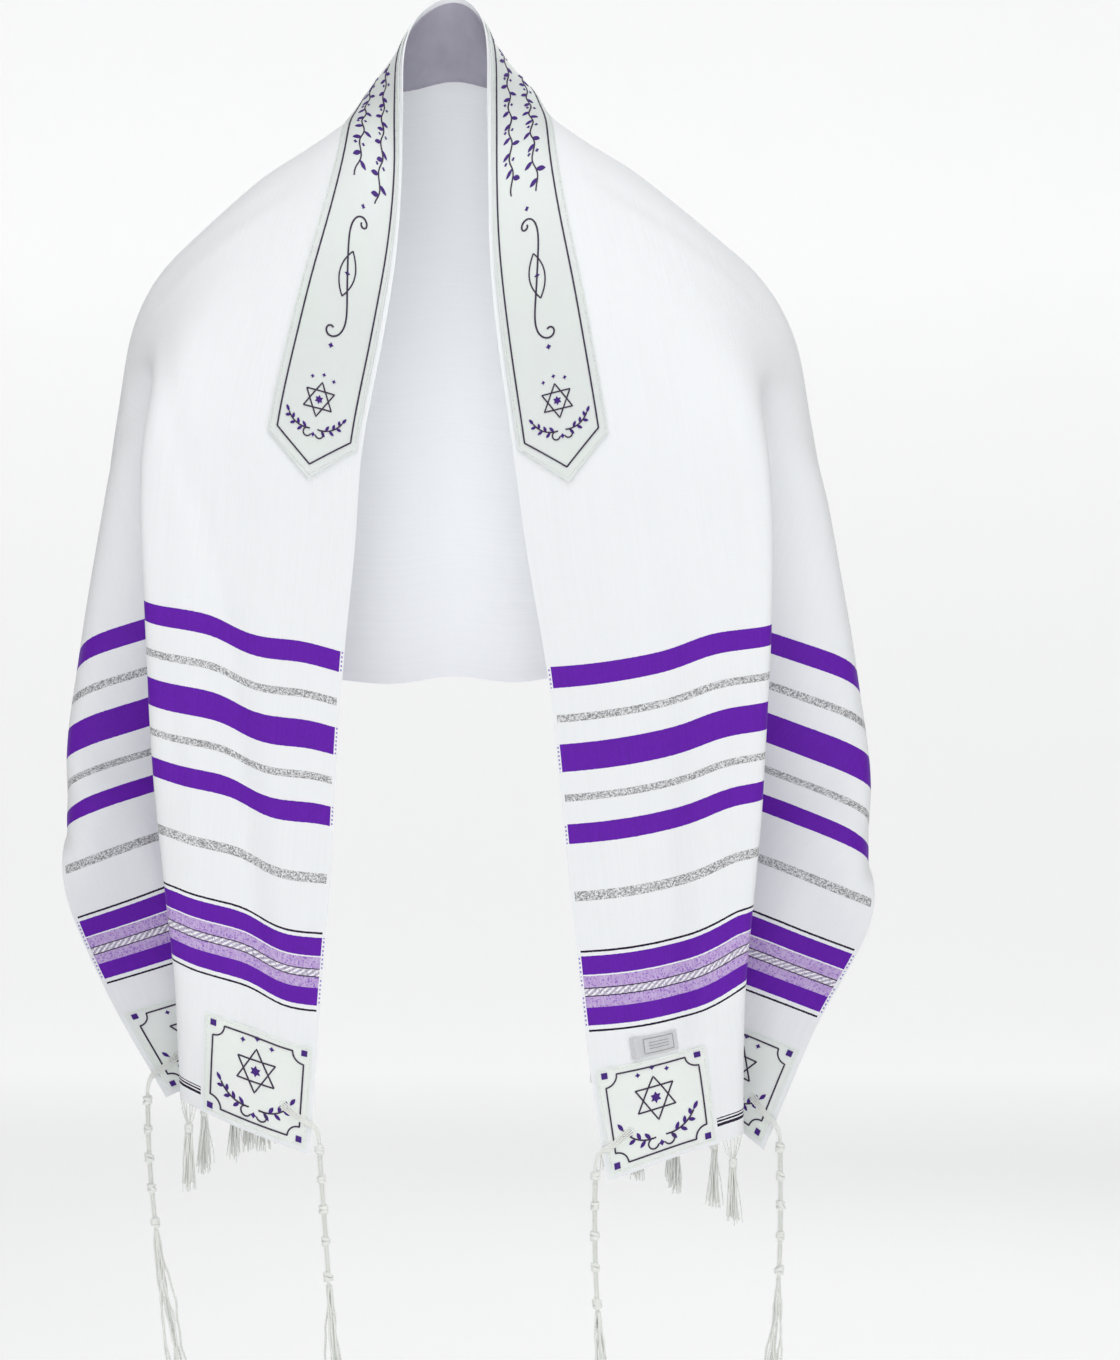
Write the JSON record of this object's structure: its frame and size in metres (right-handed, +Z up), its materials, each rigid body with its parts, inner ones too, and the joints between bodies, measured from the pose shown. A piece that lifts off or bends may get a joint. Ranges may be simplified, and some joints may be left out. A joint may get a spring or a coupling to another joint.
{
  "type": "tallit prayer shawl",
  "caption": "Fringed prayer shawl with woven bands, satin neck band, corner patches and knotted corner fringes, hanging hollow and open as worn over the shoulders.",
  "frame": {"origin": "middle of the neck hole, level with where the shawl lies on the shoulders", "axes": "+Z up; -Y out of the open front; +X to the viewer's right, the wearer's left"},
  "size_m": [0.6191, 0.2699, 1.1439],
  "materials": {
    "cloth": "cool white plain weave with woven purple, lilac and silver bands",
    "satin": "off-white satin with a faint green-grey cast and dark line work",
    "facing": "grey-lilac facing cloth",
    "label": "grey satin ribbon, plain",
    "cord": "white wound yarn"
  },
  "bodies": {
    "root": {"cloth": "cloth", "collar_band": "satin", "neck_facing": "facing", "label": "label", "patch_front_left": "satin", "tzitzit_front_left": "cord", "patch_front_right": "satin", "tzitzit_front_right": "cord", "patch_back_left": "satin", "tzitzit_back_left": "cord", "patch_back_right": "satin", "tzitzit_back_right": "cord", "hem_tassel_left_1": "cord", "hem_tassel_left_2": "cord", "hem_tassel_left_3": "cord", "hem_tassel_left_4": "cord", "hem_tassel_left_5": "cord", "hem_tassel_left_6": "cord", "hem_tassel_left_7": "cord", "hem_tassel_right_1": "cord", "hem_tassel_right_2": "cord", "hem_tassel_right_3": "cord", "hem_tassel_right_4": "cord", "hem_tassel_right_5": "cord", "hem_tassel_right_6": "cord", "hem_tassel_right_7": "cord"}
  },
  "joints": []
}
